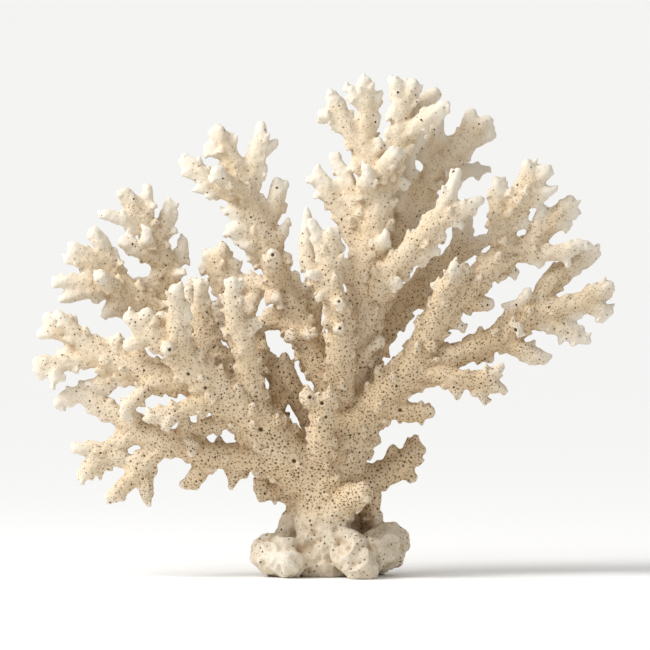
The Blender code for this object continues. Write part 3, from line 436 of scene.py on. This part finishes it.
def roughened(points, faces):
    """Adds the skeleton's relief: cell-sized lumps all over, and broad dents on the foot."""
    body = bpy.data.objects.new("rough", mesh_of("rough", points, faces))
    bpy.context.scene.collection.objects.link(body)
    foot = body.vertex_groups.new(name="foot")
    weights = zone(points[:, 2], *DENT_ZONE)
    steps = 10
    for step in range(1, steps + 1):
        chosen = np.flatnonzero(np.round(weights * steps) == step)
        foot.add(chosen.tolist(), step / steps, "REPLACE")

    def relief(name, kind, size, strength, group=""):
        """Displaces the skin by a texture of this size and strength, in millimetres."""
        texture = bpy.data.textures.new(name, kind)
        texture.noise_scale = size * MM
        displace = body.modifiers.new(name, "DISPLACE")
        displace.texture = texture
        displace.texture_coords = "LOCAL"
        displace.mid_level = 0.5
        displace.strength = strength * MM
        displace.vertex_group = group
        return texture

    dents = relief("dents", "CLOUDS", *DENTS, "foot")
    dents.noise_type = "HARD_NOISE"
    dents.noise_depth = 1
    relief("lumps", "CLOUDS", *LUMPS).noise_depth = 1
    relief("cells", "VORONOI", *CELLS)
    mesh = bpy.data.meshes.new_from_object(body.evaluated_get(bpy.context.evaluated_depsgraph_get()))
    result = arrays_of(mesh, 4)[0]
    bpy.data.objects.remove(body)
    bpy.data.meshes.remove(mesh)
    result[:, 2] = np.maximum(result[:, 2], 0.0)
    return result


def hollowness(points, normals, edges):
    """How far each point lies below the surface averaged round it, in millimetres."""
    return np.einsum("ij,ij->i", evened(points, edges, HOLLOW_PASSES) - points, normals)


def node_labels(centres, names):
    """The index of the frame solid nearest to each face."""
    corners, triangles, owner = [], [], []
    for index, name in enumerate(names):
        mesh = frame["nodes"][name].data
        offset = len(corners)
        corners.extend(v.co.copy() for v in mesh.vertices)
        for polygon in mesh.polygons:
            triangles.append([offset + v for v in polygon.vertices])
            owner.append(index)
    tree = BVHTree.FromPolygons(corners, triangles)
    return np.array([owner[tree.find_nearest(Vector(c) * MM)[2]] for c in centres])


def tidy_labels(labels, faces):
    """Straightens the border between pieces, then hands each stray patch to what is round it."""
    kinds = labels.max() + 1
    count = faces.max() + 1
    for _ in range(BORDER_PASSES):
        votes = np.zeros((count, kinds), np.float32)
        for corner in range(4):
            np.add.at(votes, (faces[:, corner], labels), 1.0)
        labels = sum(votes[faces[:, corner]] for corner in range(4)).argmax(1)
    pairs = {}
    neighbours = [[] for _ in range(len(faces))]
    for face, corners in enumerate(faces.tolist()):
        for a, b in zip(corners, corners[1:] + corners[:1]):
            key = (a, b) if a < b else (b, a)
            other = pairs.pop(key, None)
            if other is None:
                pairs[key] = face
            else:
                neighbours[face].append(other)
                neighbours[other].append(face)
    seen = np.zeros(len(faces), bool)
    patches = []
    for seed in range(len(faces)):
        if seen[seed]:
            continue
        seen[seed] = True
        patch, front = [seed], [seed]
        while front:
            for other in neighbours[front.pop()]:
                if not seen[other] and labels[other] == labels[seed]:
                    seen[other] = True
                    patch.append(other)
                    front.append(other)
        patches.append(patch)
    largest = {}
    for patch in patches:
        label = labels[patch[0]]
        if len(patch) > len(largest.get(label, [])):
            largest[label] = patch
    strays = [patch for patch in patches if largest[labels[patch[0]]] is not patch]
    for patch in sorted(strays, key=len):
        round_it = [labels[o] for face in patch for o in neighbours[face] if labels[o] != labels[face]]
        if round_it:
            labels[patch] = np.bincount(round_it).argmax()
    return labels


def pitted(skin, centres, radii):
    """Opens a round pore at each chosen vertex: a raised mouth, a wall and a floor."""
    skin.verts.ensure_lookup_table()
    mark = skin.verts.layers.float["mouth"]
    mouths, used = [], set()
    for index, radius in zip(centres, radii):
        faces = list(skin.verts[index].link_faces)
        if len(faces) == 4 and all(len(f.verts) == 4 for f in faces) and not used.intersection(faces):
            used.update(faces)
            mouths.append((faces, radius))
    opened = []
    for faces, radius in mouths:
        mouth = bmesh.utils.face_join(faces, True)
        if mouth is not None:
            opened.append((mouth, radius))
    mouth_faces = [mouth for mouth, _ in opened]
    skin.normal_update()
    bmesh.ops.inset_individual(skin, faces=mouth_faces, thickness=MOUTH_LIP * MM, depth=0.0)
    for mouth, radius in opened:
        normal = mouth.normal.copy()
        middle = mouth.calc_center_median()
        for corner in mouth.verts:
            arm = corner.co - middle
            arm -= normal * arm.dot(normal)
            corner.co = middle + arm.normalized() * radius * MM + normal * MOUTH_LIP / 2 * MM
    bmesh.ops.inset_individual(skin, faces=mouth_faces, thickness=MOUTH_SLOPE * MM, depth=-MOUTH_DEPTH * MM)
    for mouth in mouth_faces:
        for corner in mouth.verts:
            corner[mark] = 1.0


def node_slots():
    """Each frame solid's material slot."""
    return {part["node"]: part["material_slot"] for part in frame["record"]["subparts"]}


def parted(mesh, names):
    """One piece for each frame solid, closed across its forks, which stands for that solid."""
    corners = np.empty(len(mesh.loops), np.int32)
    mesh.loops.foreach_get("vertex_index", corners)
    first = np.empty(len(mesh.polygons), np.int32)
    mesh.polygons.foreach_get("loop_start", first)
    sides = np.empty(len(mesh.polygons), np.int32)
    mesh.polygons.foreach_get("loop_total", sides)
    points = np.empty(len(mesh.vertices) * 3, np.float32)
    mesh.vertices.foreach_get("co", points)
    points = points.reshape(-1, 3)
    labels = attribute_values(mesh, "piece", len(sides)).round().astype(int)
    values = {name: attribute_values(mesh, name, len(points)) for name in POINT_VALUES}
    slots = node_slots()
    finishes = {slot: skeleton_material(slot) for slot in sorted(set(slots.values()))}

    for label, name in enumerate(names):
        own = np.flatnonzero(labels == label)
        own_sides = sides[own]
        own_first = np.concatenate([[0], np.cumsum(own_sides)[:-1]])
        within = np.arange(own_sides.sum()) - np.repeat(own_first, own_sides)
        own_corners = corners[np.repeat(first[own], own_sides) + within]
        kept, own_corners = np.unique(own_corners, return_inverse=True)
        piece_mesh = bpy.data.meshes.new(name + "_skin")
        piece_mesh.vertices.add(len(kept))
        piece_mesh.vertices.foreach_set("co", points[kept].ravel())
        piece_mesh.loops.add(len(own_corners))
        piece_mesh.loops.foreach_set("vertex_index", own_corners.astype(np.int32))
        piece_mesh.polygons.add(len(own))
        piece_mesh.polygons.foreach_set("loop_start", own_first.astype(np.int32))
        piece_mesh.update(calc_edges=True)
        for value in POINT_VALUES:
            layer = piece_mesh.attributes.new(value, "FLOAT", "POINT")
            layer.data.foreach_set("value", values[value][kept])
        close_forks(piece_mesh)
        piece_mesh.shade_smooth()
        piece_mesh.materials.append(finishes[slots[name]])
        piece = bpy.data.objects.new(name + "_skin", piece_mesh)
        bpy.context.scene.collection.objects.link(piece)
        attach(piece, "root")
        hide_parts(name)


def attribute_values(mesh, name, count):
    values = np.empty(count, np.float32)
    mesh.attributes[name].data.foreach_get("value", values)
    return values


def close_forks(mesh):
    """Caps the loops where a piece was parted from its neighbours, with a sharp edge round each."""
    skin = bmesh.new()
    skin.from_mesh(mesh)
    border = [edge for edge in skin.edges if edge.is_boundary]
    for edge in border:
        edge.smooth = False
    bmesh.ops.holes_fill(skin, edges=border, sides=0)
    bmesh.ops.triangulate(skin, faces=skin.faces[:])
    skin.to_mesh(mesh)
    skin.free()
    mesh.validate()


def node_of(tree, kind, **inputs):
    node = tree.nodes.new(kind)
    for name, value in inputs.items():
        node.inputs[name].default_value = value
    return node


def mixed(tree, share, low, high):
    """A colour between low and high; each is a colour or the output that gives one."""
    mix = tree.nodes.new("ShaderNodeMix")
    mix.data_type = "RGBA"
    tree.links.new(share, mix.inputs["Factor"])
    for socket, value in ((mix.inputs[6], low), (mix.inputs[7], high)):
        if isinstance(value, tuple):
            socket.default_value = (*value, 1.0)
        else:
            tree.links.new(value, socket)
    return mix.outputs[2]


def ranged(tree, value, low, high, to_low=0.0, to_high=1.0):
    """A value's place between low and high, as a share that stays within its ends."""
    place = tree.nodes.new("ShaderNodeMapRange")
    tree.links.new(value, place.inputs["Value"])
    place.inputs["From Min"].default_value = low
    place.inputs["From Max"].default_value = high
    place.inputs["To Min"].default_value = to_low
    place.inputs["To Max"].default_value = to_high
    return place.outputs["Result"]


def product(tree, first, second):
    node = tree.nodes.new("ShaderNodeMath")
    node.operation = "MULTIPLY"
    tree.links.new(first, node.inputs[0])
    tree.links.new(second, node.inputs[1])
    return node.outputs[0]


def point_value(tree, name):
    node = tree.nodes.new("ShaderNodeAttribute")
    node.attribute_name = name
    return node.outputs["Fac"]


def skeleton_material(slot):
    """Chalky skeleton: painted highlight on crests, painted shade in hollows and in the dark open pores,
    and a fine stippled grain.
    """
    material = bpy.data.materials.new(slot)
    material.use_nodes = True
    tree = material.node_tree
    shader = tree.nodes["Principled BSDF"]
    shader.inputs["Roughness"].default_value = 0.82
    shader.inputs["Specular IOR Level"].default_value = 0.25
    place = tree.nodes.new("ShaderNodeTexCoord").outputs["Object"]

    def cloud(size, detail=2.0):
        """Cloudy noise whose blotches are about this many millimetres across."""
        node = node_of(tree, "ShaderNodeTexNoise", Scale=1.0 / (size * MM), Detail=detail)
        tree.links.new(place, node.inputs["Vector"])
        return node.outputs["Fac"]

    def cells(size):
        """Distance from the nearest cell's middle, in cells about this many millimetres wide."""
        node = node_of(tree, "ShaderNodeTexVoronoi", Scale=1.0 / (size * MM))
        tree.links.new(place, node.inputs["Vector"])
        return node.outputs["Distance"]

    def layered(colour, layers):
        """Lays tints over a colour: what decides each, where it starts and is full, its share, its tint."""
        for value, starts, full, share, tint in layers:
            colour = mixed(tree, ranged(tree, value, starts, full, 0.0, share), colour, tint)
        return colour

    hollow, tone, tip, pore, mouth = (point_value(tree, name) for name in POINT_VALUES)
    height = tree.nodes.new("ShaderNodeSeparateXYZ")
    tree.links.new(place, height.inputs[0])
    colour = mixed(tree, ranged(tree, cloud(14.0, 4.0), 0.35, 0.68), PALE, CREAM)
    # Painted shade in hollows, darkest in the deepest, and a painted highlight on crests; the tips are
    # paler of their own
    colour = layered(colour, [
        (tone, 0.0, 1.0, 1.0, TAN),
        (height.outputs["Z"], STONE_ZONE[0] * MM, STONE_ZONE[1] * MM, 0.65, FOOT_STONE),
        (hollow, 0.0, 1.0, 0.6, RECESS_SHADE),
        (hollow, 1.0, 2.2, 0.8, FINE_PORE_SHADE),
        (hollow, -0.4, -1.8, 0.6, PALE_TIP_AND_HIGHLIGHT),
        (tip, 0.0, 1.0, 0.7, PALE_TIP_AND_HIGHLIGHT),
    ])
    # Brown blotches, fading out towards the proud crests
    blotches = product(tree, ranged(tree, cloud(5.0, 3.0), 0.5, 0.72), ranged(tree, hollow, -0.4, 0.6))
    blotches = product(tree, blotches, ranged(tree, cloud(1.2), 0.3, 0.7, 0.2, 0.6))
    colour = mixed(tree, blotches, colour, DARK_BROWN)

    # Fine pores, dark dots of painted shade, thin out in patches, on the tips and on pale boughs
    dots = ranged(tree, cells(FINE_PORE_SPACING), 0.2, 0.36, 1.0, 0.0)
    for value, low, high, at_low, at_high in (
        (cloud(PATCH_SIZE), 0.3, 0.5, 0.5, 1.0),
        (tip, 0.2, 1.0, 1.0, 0.2),
        (tone, 0.0, 0.45, 0.36, 1.0),
    ):
        dots = product(tree, dots, ranged(tree, value, low, high, at_low, at_high))
    colour = mixed(tree, dots, colour, FINE_PORE_SHADE)
    # A brown ring round each pore, and painted shade on the floors of pores and mouths
    colour = layered(colour, [
        (pore, -0.4, 0.05, 0.4, DARK_BROWN),
        (pore, -0.15, 0.12, 1.0, DEEP_PORE_SHADE),
        (mouth, 0.0, 1.0, 1.0, DEEP_PORE_SHADE),
    ])
    tree.links.new(colour, shader.inputs["Base Color"])

    grain = node_of(tree, "ShaderNodeBump", Strength=0.5, Distance=0.16 * MM)
    tree.links.new(cloud(0.55, 3.0), grain.inputs["Height"])
    cups = node_of(tree, "ShaderNodeBump", Strength=0.8, Distance=0.35 * MM)
    cups.invert = True
    tree.links.new(dots, cups.inputs["Height"])
    tree.links.new(grain.outputs["Normal"], cups.inputs["Normal"])
    tree.links.new(cups.outputs["Normal"], shader.inputs["Normal"])
    return material


def tone_with_painted_shade(points, labels, faces, edges, reach, foot, names):
    """How tan each point is: its bough's own tone, blended across the forks, and more so near the
    middle; painted shade makes it darker on the right."""
    slots = node_slots()
    own = np.array([SLOT_TONES[slots[name]] for name in names])
    tone = np.zeros(len(reach))
    for corner in range(4):
        tone[faces[:, corner]] = own[labels]
    tone = evened(tone, edges, TONE_PASSES)
    central, lost, most = INNER_TONE
    inner = np.clip(central - lost * reach, 0.0, most) * (1.0 - foot)
    # Painted shade: the boughs on the right darker, away from the light
    right_shade = zone(points[:, 0], *RIGHT_SHADE_ZONE) * zone(points[:, 2], *RIGHT_SHADE_TOP)
    return np.clip(tone + INNER_SHARE * inner + RIGHT_SHADE * right_shade, 0.0, 1.0)


def front_points(places, tree):
    """Where a straight look from the front meets the skin at each (x, z), in millimetres."""
    found = []
    for x, z in places:
        hit = tree.ray_cast(Vector((x, -200.0, z)) * MM, Vector((0.0, 1.0, 0.0)))
        found.append(np.array(hit[0]) / MM)
    return np.array(found)


def pressed(points, normals, tree):
    """Presses the hollows that the photograph shows into the foot, and raises what stands proud."""
    spots = front_points([(x, z) for x, z, _, _ in FOOT_RELIEF], tree)
    move = np.zeros(len(points))
    for spot, (_, _, reach, depth) in zip(spots, FOOT_RELIEF):
        near = np.exp(-(((points - spot) ** 2).sum(1)) / reach**2)
        move -= depth * near
    return points + normals * move[:, None]


def skin_tree(points, faces):
    quads = [tuple(face) for face in faces.tolist()]
    return BVHTree.FromPolygons([Vector(p) * MM for p in points], quads)


def budded(points, faces, normals, thickness, rng):
    """The form and the knobs that grow on it, fused into one skin."""
    budding = points[:, 2] > FOOT_TOP
    budding &= (normals[:, 1] > FACING) | (rng.random(len(points)) < FACING_KNOBS)
    buds = np.flatnonzero(budding)
    buds = buds[spaced(points[buds], rng.uniform(*KNOB_SPACING, len(buds)), rng)]
    knob_points, knob_faces = knobs(points[buds], normals[buds], thickness[buds], rng)
    triangles = np.concatenate([faces[:, [0, 1, 2]], faces[:, [0, 2, 3]], knob_faces + len(points)])
    return fused(np.concatenate([points, knob_points]), triangles, SKIN_VOXEL)


def add_shade_spots(hollow, points, tree):
    """Counts the dark recesses on the front as deeper hollows, to paint shade there, and a spot of negative
    strength as a crest, painted lighter.
    """
    spots = front_points([(x, z) for x, z, _, _ in SHADE_SPOTS], tree)
    for spot, (_, _, extent, strength) in zip(spots, SHADE_SPOTS):
        hollow = hollow + strength * np.exp(-(((points - spot) ** 2).sum(1)) / extent**2)
    return hollow


def pore_places(points, hollow, reach, foot, tip, rng):
    """The points where open pores sit, and their radii: crowded at the trunk, few on foot and tips."""
    spots = np.flatnonzero((points[:, 2] > PORE_LOWEST) & (hollow > CREST_LIMIT))
    near, far = PORE_SPACING
    spacing = near + (far - near) * reach[spots] + FOOT_SPREAD * foot[spots]
    spacing = spacing * rng.uniform(*UNEVEN, len(spots))
    spots = spots[spaced(points[spots], spacing, rng)]
    patch = np.array([noise.noise(Vector(points[spot] / PATCH_SIZE)) for spot in spots])
    bare = BARE_REACH * reach[spots] + BARE - (PATCHES[0] + PATCHES[1] * foot[spots]) * patch
    bare += BARE_TIP * tip[spots] + BARE_FOOT * foot[spots]
    spots = spots[rng.random(len(spots)) > bare]
    small, large = PORE_RADIUS
    radii = small + (large - small) * rng.random(len(spots)) ** SMALLNESS
    return spots, radii * (SHRINK[0] - SHRINK[1] * reach[spots])


def sunk(points, normals, spots, radii, tree):
    """Sinks the pores and the front's openings, and tells how far inside one each point is."""
    skin = tree_of(points)
    pore = np.full(len(points), -1.0)
    for spot, radius in zip(points[spots], radii):
        for _, other, distance in skin.find_range(spot, radius + PORE_EDGE):
            pore[other] = max(pore[other], radius - distance)
    raised = -PORE_DEPTH * np.clip(pore, 0.0, 0.5)
    openings = front_points([(x, z) for x, z, _, _ in OPENINGS], tree)
    for spot, (_, _, radius, rim) in zip(openings, OPENINGS):
        for _, other, distance in skin.find_range(spot, radius + OPENING_EDGE):
            raised[other] = rim * math.exp(-(((distance - radius - RIM_WIDTH) / RIM_WIDTH) ** 2))
            raised[other] -= OPENING_DEPTH * max(0.0, radius - OPENING_FUNNEL * distance)
            pore[other] = radius - distance
    return points + normals * raised[:, None], pore


def coral():
    """Builds the coral's skin and parts it into one piece a bough."""
    rng = np.random.default_rng(SEED)
    names = sorted(frame["nodes"])
    form, faces, form_thickness = smooth_form()
    nearest = tree_of(form)
    normals = normals_of(form, faces)
    points = pressed(form, normals, skin_tree(form, faces))
    points, faces = budded(points, faces, normals, form_thickness, rng)
    edges = edges_of(faces)
    points = roughened(rounded(points, edges, SKIN_PASSES), faces)
    normals = normals_of(points, faces)

    tree = skin_tree(points, faces)
    hollow = add_shade_spots(hollowness(points, normals, edges), points, tree)
    labels = tidy_labels(node_labels(points[faces].mean(1), names), faces)
    reach = zone(np.linalg.norm(points - np.array(GROWTH_CENTRE), axis=1), 0.0, FULL_REACH)
    foot = zone(points[:, 2], *FOOT_ZONE)
    thickness = form_thickness[[nearest.find(point)[1] for point in points]]
    tip = zone(evened(thickness, edges, SKIN_EVENING), *TIP_ZONE) * zone(reach, *OUTER_ZONE)

    spots, radii = pore_places(points, hollow, reach, foot, tip, rng)
    points, pore = sunk(points, normals, spots, radii, tree)
    clear = (pore < MOUTH_CLEAR) & (hollow > MOUTH_CREST)
    mouths = np.flatnonzero((points[:, 2] > FOOT_TOP) & clear)
    spacing = rng.uniform(*MOUTH_UNEVEN, len(mouths)) * MOUTH_SPACING
    mouths = mouths[spaced(points[mouths], spacing, rng)]
    mouth_radii = rng.uniform(*MOUTH_RADIUS, len(mouths))

    mesh = mesh_of("skin", points, faces)
    for name, values, domain in (
        ("hollow", hollow, "POINT"),
        ("tone", tone_with_painted_shade(points, labels, faces, edges, reach, foot, names), "POINT"),
        ("tip", tip, "POINT"),
        ("pore", pore, "POINT"),
        ("mouth", np.zeros(len(points)), "POINT"),
        ("piece", labels, "FACE"),
    ):
        layer = mesh.attributes.new(name, "FLOAT", domain)
        layer.data.foreach_set("value", values.astype(np.float32))
    skin = bmesh.new()
    skin.from_mesh(mesh)
    pitted(skin, mouths, mouth_radii)
    skin.to_mesh(mesh)
    skin.free()
    parted(mesh, names)
    bpy.data.meshes.remove(mesh)


def studio():
    """A pale floor that fills the view, an even sky, a soft key light and a lamp near the left."""
    bpy.ops.mesh.primitive_plane_add(size=FLOOR_SIZE, location=(0.0, 0.0, 0.0))
    floor = bpy.context.object
    floor.name = "floor"
    paint = bpy.data.materials.new("floor_paint")
    paint.use_nodes = True
    shader = paint.node_tree.nodes["Principled BSDF"]
    shader.inputs["Base Color"].default_value = FLOOR_COLOUR
    shader.inputs["Roughness"].default_value = 0.9
    shader.inputs["Specular IOR Level"].default_value = 0.1
    floor.data.materials.append(paint)

    world = bpy.data.worlds.new("sky")
    world.use_nodes = True
    background = world.node_tree.nodes["Background"]
    background.inputs["Color"].default_value = SKY_COLOUR
    background.inputs["Strength"].default_value = SKY_STRENGTH
    bpy.context.scene.world = world

    key = bpy.data.lights.new("key", "SUN")
    key.energy = KEY_STRENGTH
    key.angle = KEY_SPREAD
    hang(key, Vector(KEY_FROM), Vector((0.0, 0.0, 0.0)))
    lamp = bpy.data.lights.new("lamp", "AREA")
    lamp.shape = "DISK"
    lamp.size = LAMP_SIZE
    lamp.energy = LAMP_WATTS
    hang(lamp, Vector(LAMP_PLACE), Vector(LAMP_AIM))


def hang(light, place, aim):
    """Puts a light at its place, turned towards what it lights, and out of every picture."""
    holder = bpy.data.objects.new(light.name, light)
    bpy.context.scene.collection.objects.link(holder)
    holder.location = place
    holder.visible_camera = False
    holder.rotation_mode = "QUATERNION"
    holder.rotation_quaternion = (place - aim).to_track_quat("Z", "Y")


def camera():
    """The photograph's view: square on to the fan, a little above level, from far off."""
    lens = bpy.data.cameras.new("camera")
    lens.sensor_width = SENSOR
    lens.lens = LENS
    eye = bpy.data.objects.new("camera", lens)
    bpy.context.scene.collection.objects.link(eye)
    back = Vector((0.0, -math.cos(VIEW_ELEVATION), math.sin(VIEW_ELEVATION)))
    distance = VIEW_WIDTH * LENS / SENSOR
    eye.location = Vector(VIEW_MIDDLE) + back * distance
    eye.rotation_mode = "QUATERNION"
    eye.rotation_quaternion = (-back).to_track_quat("-Z", "Y")
    lens.clip_start, lens.clip_end = VIEW_CLIP
    bpy.context.scene.camera = eye
    bpy.context.scene.view_settings.view_transform = "Standard"


camera()
studio()
coral()
